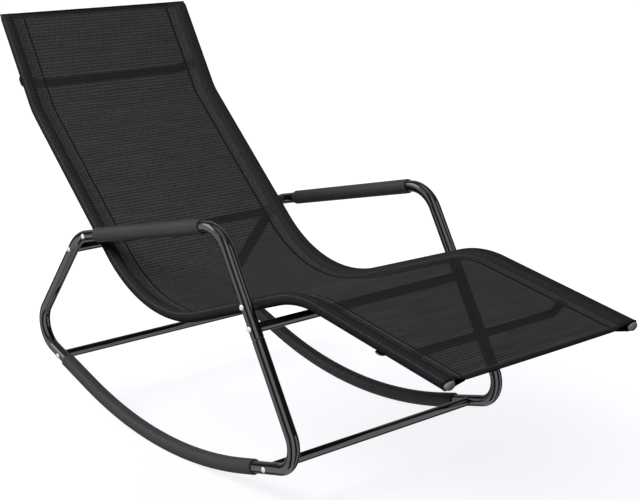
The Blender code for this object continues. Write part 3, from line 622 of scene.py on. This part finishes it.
def bolt(name, node_name, axis):
    """Dome-headed bolt with a hexagon socket. axis points out of the head."""
    low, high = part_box(node_name)
    middle = (low + high) / 2
    reach = abs((high - low).dot(axis))
    seat = middle + axis * (reach / 2 - BOLT_HEAD_HEIGHT)
    rim = BOLT_HEAD_HEIGHT * BOLT_RIM
    tip = BOLT_HEAD_HEIGHT - reach
    outline = [(tip, BOLT_RADIUS * BOLT_TIP[0]), (tip + BOLT_TIP[1], BOLT_RADIUS), (0.0, BOLT_RADIUS),
               (0.0, BOLT_HEAD_RADIUS * BROKEN_EDGE), (rim * BOLT_EDGE, BOLT_HEAD_RADIUS), (rim, BOLT_HEAD_RADIUS)]
    for a in DOME_TURNS:
        angle = math.radians(a)
        outline.append((rim + (BOLT_HEAD_HEIGHT - rim) * math.sin(angle),
                        BOLT_HEAD_RADIUS * math.cos(angle) + DOME_SPREAD * math.sin(angle)))
    outline += [(BOLT_HEAD_HEIGHT, SOCKET_RADIUS * SOCKET_LIP[0]),
                (BOLT_HEAD_HEIGHT - SOCKET_LIP[1], SOCKET_RADIUS),
                (BOLT_HEAD_HEIGHT - SOCKET_DEPTH, SOCKET_RADIUS)]
    hexagons = (len(outline) - 2, len(outline) - 1)
    turned(name, seat, axis, outline, BOLT_SIDES, bright_steel, [node_name], hexagons)


upright = profile(REAR_FOOT) - profile(ARM_REAR)
leg = profile(ARM_FRONT) - profile(FRONT_FOOT)
arm = profile(ARM_REAR) - profile(ARM_FRONT)
rocker_front = rocker_point(-math.radians(FRONT_ARC)) - profile(FRONT_FOOT)
rocker_rear = profile(REAR_FOOT) - rocker_point(math.radians(REAR_ARC))
rail_corners = [profile(p) for p in RAIL_CORNERS]
rail_top, head_corner, seat_corner, knee_corner, rail_foot = rail_corners
CROSSBARS = {"rear_upper": upright, "rear_lower": rocker_rear, "seat": leg, "front_lower": rocker_front}
RAIL_FIXINGS = {"arm": (arm, seat_corner - head_corner), "leg": (leg, knee_corner - seat_corner)}

for hand, sign in HANDS.items():
    frame_tubes(hand, sign)
    foam_sleeves(hand, sign)
    for name in CROSSBARS:
        bolt(f"{name}_dome_bolt_{hand}", f"{name}_bolt_{hand}", AXIS_X * sign)
    for name, (tube_run, rail_run) in RAIL_FIXINGS.items():
        bolt(f"{name}_dome_bolt_{hand}", f"{name}_rail_bolt_{hand}", AXIS_X * sign)
        spacer = f"{name}_rail_spacer_{hand}"
        saddle_bar(f"{name}_saddle_{hand}", box_middle(spacer), SPACER_RADIUS,
                   [(sign * FRAME_X, TUBE_RADIUS, tube_run),
                    (sign * RAIL_X, WRAP_RADIUS + SADDLE_CLEARANCE, rail_run)],
                   BAR_SIDES, black_plastic, [spacer])
for name, direction in CROSSBARS.items():
    saddle_bar(f"{name}_bar", box_middle(f"{name}_crossbar"), CROSSBAR_RADIUS,
               [(-FRAME_X, TUBE_RADIUS, direction), (FRAME_X, TUBE_RADIUS, direction)],
               BAR_SIDES, black_paint, [f"{name}_crossbar"])


# Rail plugs and spreader bars

def domed(height, radius, edge, shaft, depth):
    """Outline of a plug with a rounded edge and a slightly crowned face."""
    rim, full = CAP_SEAT
    outline = [(-depth, shaft * PLUG_TIP[0]), (-depth + PLUG_TIP[1], shaft), (rim, shaft),
               (rim, radius * BROKEN_EDGE), (full, radius)]
    for a in CAP_TURNS:
        angle = math.radians(a)
        outline.append((height - edge * (1 + CAP_CROWN) + edge * math.sin(angle),
                        radius - edge + edge * math.cos(angle)))
    for share in CROWN_SHARES:
        outline.append((height - edge * CAP_CROWN * share ** 2, (radius - edge) * share))
    return outline


for hand, sign in HANDS.items():
    for place, before, end, height in (("head", head_corner, rail_top, HEAD_CAP_HEIGHT),
                                       ("foot", knee_corner, rail_foot, CAP_HEIGHT)):
        origin = at_x(end, sign * RAIL_X)
        axis = (end - before).normalized()
        edge = min(CAP_EDGE, height * CAP_EDGE_SHARE)
        cap = turned(f"{place}_cap_{hand}", origin, axis, domed(height, CAP_RADIUS, edge, PLUG_RADIUS, PLUG_DEPTH),
                     BOLT_SIDES, grey_plastic, [f"{place}_rail_cap_{hand}"])
        down = under(axis)
        for vertex in cap.data.vertices:
            off = vertex.co - origin
            if off.dot(axis) > CAP_FRONT:
                vertex.co += AXIS_X * off.x * (CAP_SPREAD - 1) + down * off.dot(down) * (CAP_FLAT - 1)

SPREADERS = {
    "head": (towards(rail_top, head_corner, HEAD_SPREADER), (head_corner - rail_top).normalized()),
    "calf": (towards(rail_foot, knee_corner, CALF_SPREADER), (rail_foot - knee_corner).normalized()),
}
for name, (place, along) in SPREADERS.items():
    radius, drop, ends = BOWS[name]
    back = under(along)
    end_x = RAIL_X + SPREADER_OVERHANG
    corners = []
    bends = []
    for hand, sign in HANDS.items():
        straight, slope, bend = ends[hand]
        half = [(end_x, SPREADER_DEPTH), (RAIL_X - straight, SPREADER_DEPTH),
                (RAIL_X - straight - slope, SPREADER_DEPTH + drop)]
        corners += [at_x(place, sign * x) + back * d for x, d in half][::-sign]
        bends += [bend, bend]
    line = rounded(corners, bends)
    tip = [SPREADER_TIP * share for share in TIP_SHARES]
    line = (line[:1] + [towards(line[0], line[1], s) for s in tip] + line[1:-1]
            + [towards(line[-1], line[-2], s) for s in reversed(tip)] + line[-1:])
    presses = []
    for spot in line:
        straight, slope, bend = ends["left" if spot.x > 0 else "right"]
        share = max(0.0, min(1.0, (abs(spot.x) - RAIL_X + straight + slope) / slope))
        into_tip = max(0.0, abs(spot.x) - end_x + SPREADER_TIP)
        rounding = SPREADER_TIP - math.sqrt(max(0.0, SPREADER_TIP ** 2 - into_tip ** 2))
        presses.append((share * share * (3 - 2 * share), math.pi * (radius - PRESSED_WALL) - 2 * rounding))
    bar(f"{name}_bow", line, along, [radius] * len(line), BAR_SIDES, black_paint,
        [f"{name}_spreader"], presses)
    for hand, sign in HANDS.items():
        seat = at_x(place, sign * RAIL_X) + back * (SPREADER_DEPTH + PRESSED_THICKNESS / 2)
        turned(f"{name}_bow_bolt_{hand}", seat, back, SPREADER_BOLT, BOLT_SIDES, bright_steel,
               [f"{name}_spreader_bolt_{hand}"], SPREADER_BOLT_SOCKET)


# Sling

sling_path = rounded([towards(rail_top, head_corner, -SLEEVE_TOP_LAP)] + rail_corners[1:], RAIL_BENDS, 1.0)
sling_runs = lengths_along(sling_path)
cloth_length = sling_runs[-1]


def cloth_station(run):
    """Place and direction of the sling's middle plane, at a distance from its head end."""
    k = 0
    while k < len(sling_path) - 2 and run > sling_runs[k + 1]:
        k += 1
    share = (run - sling_runs[k]) / (sling_runs[k + 1] - sling_runs[k])
    ahead = (sling_path[k + 1] - sling_path[k]).normalized()
    if 0 < share < 1 and 0 < k < len(sling_path) - 2:
        before = (sling_path[k] - sling_path[k - 1]).normalized()
        after = (sling_path[k + 2] - sling_path[k + 1]).normalized()
        ahead = ((before + ahead).lerp(ahead + after, share)).normalized()
    return sling_path[k].lerp(sling_path[k + 1], share), ahead


def fullness(run):
    """Share of a sleeve's height: it narrows to the flat hem at the head end."""
    share = min(1.0, max(0.0, run / SLEEVE_CLOSE))
    return HEAD_FULLNESS + (1 - HEAD_FULLNESS) * share * share * (3 - 2 * share)


def foot_lap(run):
    """How far the top of a sleeve reaches ahead."""
    share = min(1.0, max(0.0, (run - cloth_length + FOOT_LAP_RUN) / FOOT_LAP_RUN))
    return FOOT_LAP * share * share


def half_section():
    """One half of the cloth's section: (x, height above the rails' middle plane, distance across the cloth)."""
    seam = RAIL_X - HEM_WIDTH
    lean = math.acos(WRAP_RADIUS / HEM_WIDTH)
    points = [(seam * i / SHEET_COLUMNS, -SEAM_DEPTH) for i in range(SHEET_COLUMNS)]
    points.append((seam - SEAM_WIDTH / 2, -SEAM_DEPTH))
    start = (seam + SEAM_WIDTH / 2, SEAM_STEP - SEAM_DEPTH)
    points.append(start)
    top = (RAIL_X - WRAP_RADIUS * math.cos(lean), WRAP_RADIUS * math.sin(lean))
    border = (RAIL_X - HEM_SHEER - start[0]) / (top[0] - start[0])
    for share in (border * 0.25, border * 0.5, border * 0.75, border, 0.6 + border * 0.4, 0.8 + border * 0.2):
        points.append((start[0] + (top[0] - start[0]) * share, start[1] + (top[1] - start[1]) * share))
    wrap = 2 * (math.pi - lean)
    for i in range(WRAP_COLUMNS + 1):
        angle = lean + wrap * i / WRAP_COLUMNS
        points.append((RAIL_X - WRAP_RADIUS * math.cos(angle), max(-WRAP_BOTTOM, WRAP_RADIUS * math.sin(angle))))
    bottom = points[-1]
    last = (seam + SEAM_WIDTH / 2, -SEAM_DEPTH - CLOTH_THICKNESS - LAYER_GAP)
    border = (bottom[0] - RAIL_X + HEM_SHEER) / (bottom[0] - last[0])
    for share in (border * 0.33, border * 0.67, border,
                  0.25 + border * 0.75, 0.5 + border * 0.5, 0.75 + border * 0.25, 1.0):
        points.append((bottom[0] + (last[0] - bottom[0]) * share, bottom[1] + (last[1] - bottom[1]) * share))
    section = []
    run = 0.0
    for i, (x, h) in enumerate(points):
        if i:
            run += math.hypot(x - points[i - 1][0], h - points[i - 1][1])
        section.append((x, h, run))
    return section


def section_both():
    half = half_section()
    return [(-x, h, -u) for x, h, u in reversed(half[1:])] + half


def cloth_mesh(section, distances):
    """Grid of cloth with its flat coordinates, sagging a little between the seams."""
    mesh = bmesh.new()
    layer = mesh.loops.layers.uv.new("flat")
    seam = RAIL_X - HEM_WIDTH
    rows = []
    for run in distances:
        place, along = cloth_station(run)
        up = -under(along)
        full = fullness(run)
        row = []
        for x, h, u in section:
            sag = SHEET_SAG * max(0.0, 1 - (x / seam) ** 2) * full
            ahead = along * foot_lap(run) * max(0.0, h / WRAP_RADIUS)
            row.append(mesh.verts.new(at_x(place, x) + up * (h * full - sag) + ahead))
        rows.append(row)
    for i in range(len(rows) - 1):
        for k in range(len(section) - 1):
            face = mesh.faces.new((rows[i][k], rows[i][k + 1], rows[i + 1][k + 1], rows[i + 1][k]))
            flat = ((k, i), (k + 1, i), (k + 1, i + 1), (k, i + 1))
            for loop, (column, station) in zip(face.loops, flat):
                loop[layer].uv = (section[column][2], distances[station])
            middle = abs(section[k][0] + section[k + 1][0]) / 2
            run = (distances[i] + distances[i + 1]) / 2
            face.material_index = cloth_region(middle, run)
    return mesh


def cloth_region(x, run):
    """Index of a face's material: 0 mesh, 1 sleeve and head hem, 2 seam and foot hem, 3 sheer side hem."""
    seam = RAIL_X - HEM_WIDTH
    if run < HEAD_HEM:
        return 1
    foot_hem = run > cloth_length - FOOT_HEM and x < RAIL_X - HEM_SHEER
    if foot_hem or abs(x - seam) < SEAM_WIDTH * SEAM_REACH:
        return 2
    if x < seam:
        return 0
    return 3 if x < RAIL_X - HEM_SHEER else 1


def thicken(made, thickness):
    solid = made.modifiers.new("thickness", "SOLIDIFY")
    solid.thickness = thickness
    solid.offset = 0.0
    solid.use_even_offset = True


section = section_both()
head_steps = [HEAD_STEP * i for i in range(HEAD_ROWS)]
even_steps = round((cloth_length - FOOT_HEM - head_steps[-1]) / CLOTH_STEP)
even_step = (cloth_length - FOOT_HEM - head_steps[-1]) / even_steps
distances = head_steps + [head_steps[-1] + even_step * i for i in range(1, even_steps + 1)]
distances += [cloth_length - FOOT_HEM * i / FOOT_ROWS for i in reversed(range(FOOT_ROWS))]
sling = piece("sling_cloth", cloth_mesh(section, distances), (mesh_cloth, sleeve_cloth, seam_cloth, hem_cloth),
              ["sling"], sharp=180)
thicken(sling, CLOTH_THICKNESS)


def end_strip(name, first, last):
    """Black strip along one end of the cloth, from one distance along it to another."""
    mesh = cloth_mesh(section, [first + (last - first) * i / END_STRIP_ROWS for i in range(END_STRIP_ROWS + 1)])
    for face in mesh.faces:
        face.material_index = 0
    made = piece(name, mesh, end_strip_cloth, [], sharp=180)
    thicken(made, CLOTH_THICKNESS + 2 * END_STRIP_LIFT)
    return made


head_end_strip = end_strip("head_end_strip", -END_STRIP_LAP[0], END_STRIP_WIDTH)
foot_end_strip = end_strip("foot_end_strip", cloth_length - END_STRIP_WIDTH, cloth_length + END_STRIP_LAP[1])


def stitch(mesh, middle, along, up, across):
    """One stitch: a small spindle of thread along a row."""
    tips = [mesh.verts.new(middle + along * STITCH_LENGTH * d / 2 - up * STITCH_SINK) for d in (-1, 1)]
    waist = []
    turns = [2 * math.pi * k / STITCH_SIDES for k in range(STITCH_SIDES)]
    for d in (-STITCH_WAIST, STITCH_WAIST):
        waist.append([mesh.verts.new(middle + along * STITCH_LENGTH * d
                                     + (up * math.cos(a) + across * math.sin(a)) * STITCH_RADIUS)
                      for a in turns])
    bridge(mesh, *waist)
    for tip, loop in zip(tips, waist):
        for k in range(len(loop)):
            mesh.faces.new((loop[k], loop[(k + 1) % len(loop)], tip))


def on_section(u):
    """Place across the cloth's half section, at a distance from its middle line."""
    half = half_section()
    k = max(i for i in range(len(half) - 1) if half[i][2] <= u)
    share = (u - half[k][2]) / (half[k + 1][2] - half[k][2])
    return [half[k][i] + (half[k + 1][i] - half[k][i]) * share for i in (0, 1)]


def stitching():
    """Rows of thread along both hems and across both ends."""
    mesh = bmesh.new()
    seam = RAIL_X - HEM_WIDTH
    for u, side in ((seam + STITCH_ROW, 1), (section[-1][2] - STITCH_ROW, -1)):
        x, h = on_section(u)
        for i in range(int((cloth_length - 2 * END_STRIP_WIDTH) / STITCH_PITCH)):
            run = END_STRIP_WIDTH + (i + 0.5) * STITCH_PITCH
            place, along = cloth_station(run)
            up = -under(along)
            height = h * fullness(run) + side * CLOTH_THICKNESS / 2
            for sign in (-1, 1):
                stitch(mesh, at_x(place, sign * x) + up * height, along, up * side, AXIS_X)
    for run in (HEAD_HEM + END_STITCH, cloth_length - FOOT_HEM - END_STITCH):
        place, along = cloth_station(run)
        up = -under(along)
        for i in range(int(2 * seam / STITCH_PITCH)):
            x = -seam + (i + 0.5) * STITCH_PITCH
            sag = (SEAM_DEPTH + SHEET_SAG * (1 - (x / seam) ** 2)) * fullness(run)
            stitch(mesh, at_x(place, x) + up * (CLOTH_THICKNESS / 2 - sag), AXIS_X, up, along)
    return piece("hem_stitching", mesh, thread, [], sharp=180)


stitches = stitching()


# Carried-over CAD nodes

CARRIED = {"rail_left": black_paint, "rail_right": black_paint, "insert": bright_steel, "nut": bright_steel}
for name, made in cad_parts.items():
    for word, material in CARRIED.items():
        if word in name and not made.hide_render:
            made.data.materials.clear()
            made.data.materials.append(material)


# Floor, light and camera

FLOOR_SIZE = 14.0
FLOOR_GLOW = (0.45, 1.15, 0.88, 1.0)    # distances between which the floor grows pale, and its glow there


def floor():
    mesh = bmesh.new()
    bmesh.ops.create_grid(mesh, x_segments=8, y_segments=8, size=FLOOR_SIZE)
    data = bpy.data.meshes.new("floor")
    mesh.to_mesh(data)
    mesh.free()
    made = bpy.data.objects.new("floor", data)
    bpy.context.scene.collection.objects.link(made)
    pale, tree, shader = start_material("floor_pale", {
        "Roughness": 0.9, "Specular IOR Level": 0.1, "Base Color": (0.35, 0.345, 0.36, 1.0),
        "Emission Color": (0.985, 0.97, 1.0, 1.0)})
    spot = node(tree, "TexCoord").outputs["Object"]
    far = node(tree, "VectorMath", {0: spot}, operation="LENGTH").outputs["Value"]
    tree.links.new(between(tree, far, *FLOOR_GLOW), shader.inputs["Emission Strength"])
    data.materials.append(pale)
    made.visible_glossy = False
    made.visible_diffuse = False
    return made


ground = floor()


def softbox(name, place, target, size, power):
    light = bpy.data.lights.new(name, "AREA")
    light.shape = "RECTANGLE"
    light.size, light.size_y = size
    light.energy = power
    made = bpy.data.objects.new(name, light)
    bpy.context.scene.collection.objects.link(made)
    made.location = place
    made.rotation_euler = (Vector(target) - Vector(place)).to_track_quat("-Z", "Y").to_euler()
    return made


def spare(light, thing):
    """Keep a light off one thing."""
    lit = bpy.data.collections.new(light.name + "_lit")
    lit.objects.link(thing)
    lit.collection_objects[0].light_linking.link_state = "EXCLUDE"
    light.light_linking.receiver_collection = lit


key = softbox("key_softbox", place=(-2.3, -1.6, 2.9), target=(0.0, 0.0, 0.4), size=(1.5, 1.5), power=180)
rear = softbox("rear_softbox", place=(-2.2, 2.6, 2.3), target=(0.0, 0.2, 0.3), size=(2.0, 1.5), power=90)
key.visible_glossy = rear.visible_glossy = False
spare(key, ground)

# Studio walls round the chair: pale panels with dark gaps between them,
# as (middle, half width, level, sines of the elevations of the foot and the top). The last one is a softbox.
PANELS = ((145.0, 27.0, 1.0, -2.0, 0.71), (-127.0, 25.0, 1.3, -2.0, 0.92), (-50.0, 17.0, 1.1, -2.0, 0.71),
          (57.0, 37.0, 0.35, -2.0, 0.71), (130.0, 17.0, 3.2, 0.36, 0.74))
PANEL_EDGE = 3.0
PANEL_FADE = 0.07
CEILING = (0.80, 1.0, 0.75)     # sines of the elevations between which a ceiling grows pale, and its level
WALL_LEVEL = 0.06
STUDIO_TINT = (1.0, 0.955, 1.0)
PANEL_FOOT = (-0.90, -0.96)     # sines of the elevations between which the pale floor begins
FILL = (0.02, 0.16)             # soft light from straight below and straight above
BACKDROP = (1.0, 1.0, 1.0, 1.0)
CAMERA_LENS = 81.54             # millimetres, on a sensor 36 wide
CAMERA_PLACE = (-1.9498, -2.4187, 1.2089)
CAMERA_AIM = (0.6318, 0.7313, -0.2569)

world = bpy.data.worlds.new("studio")
bpy.context.scene.world = world
world.use_nodes = True
sky = world.node_tree
heading = node(sky, "SeparateXYZ", {0: node(sky, "TexCoord").outputs["Generated"]})
azimuth = calc(sky, "ARCTAN2", heading.outputs["Y"], heading.outputs["X"])
height = heading.outputs["Z"]
walls = WALL_LEVEL
for middle, half, level, foot, top in PANELS:
    turn = calc(sky, "WRAP", calc(sky, "SUBTRACT", azimuth, math.radians(middle)), math.pi, -math.pi)
    inside = between(sky, calc(sky, "ABSOLUTE", turn), math.radians(half + PANEL_EDGE),
                     math.radians(half - PANEL_EDGE), 0.0, level)
    below = between(sky, height, top + PANEL_FADE, top - PANEL_FADE, 0.0, 1.0)
    above = between(sky, height, foot - PANEL_FADE, foot + PANEL_FADE, 0.0, 1.0)
    walls = calc(sky, "MAXIMUM", walls, calc(sky, "MULTIPLY", inside, calc(sky, "MULTIPLY", below, above)))
walls = calc(sky, "MAXIMUM", walls, between(sky, height, *PANEL_FOOT, 0.0, 1.0))
walls = calc(sky, "MAXIMUM", walls, between(sky, height, *CEILING[:2], 0.0, CEILING[2]))
fill = node(sky, "MapRange", {"Value": height, "From Min": -1.0, "From Max": 1.0,
                              "To Min": FILL[0], "To Max": FILL[1]}).outputs[0]
rays = node(sky, "LightPath")
level = node(sky, "Mix", {0: rays.outputs["Is Glossy Ray"], 2: fill, 3: walls}).outputs[0]
tinted = scaled(sky, STUDIO_TINT, level)
tone = node(sky, "Mix", {0: rays.outputs["Is Camera Ray"], 6: tinted, 7: BACKDROP}, data_type="RGBA")
sky.links.new(tone.outputs[2], sky.nodes["Background"].inputs["Color"])

camera = bpy.data.cameras.new("camera")
camera.lens = CAMERA_LENS
camera.sensor_width = 36.0
camera.clip_end = 100.0
eye = bpy.data.objects.new("camera", camera)
bpy.context.scene.collection.objects.link(eye)
eye.location = Vector(CAMERA_PLACE) + REST_SHIFT
eye.rotation_euler = Vector(CAMERA_AIM).to_track_quat("-Z", "Y").to_euler()
bpy.context.scene.camera = eye
bpy.context.scene.view_settings.view_transform = "Standard"
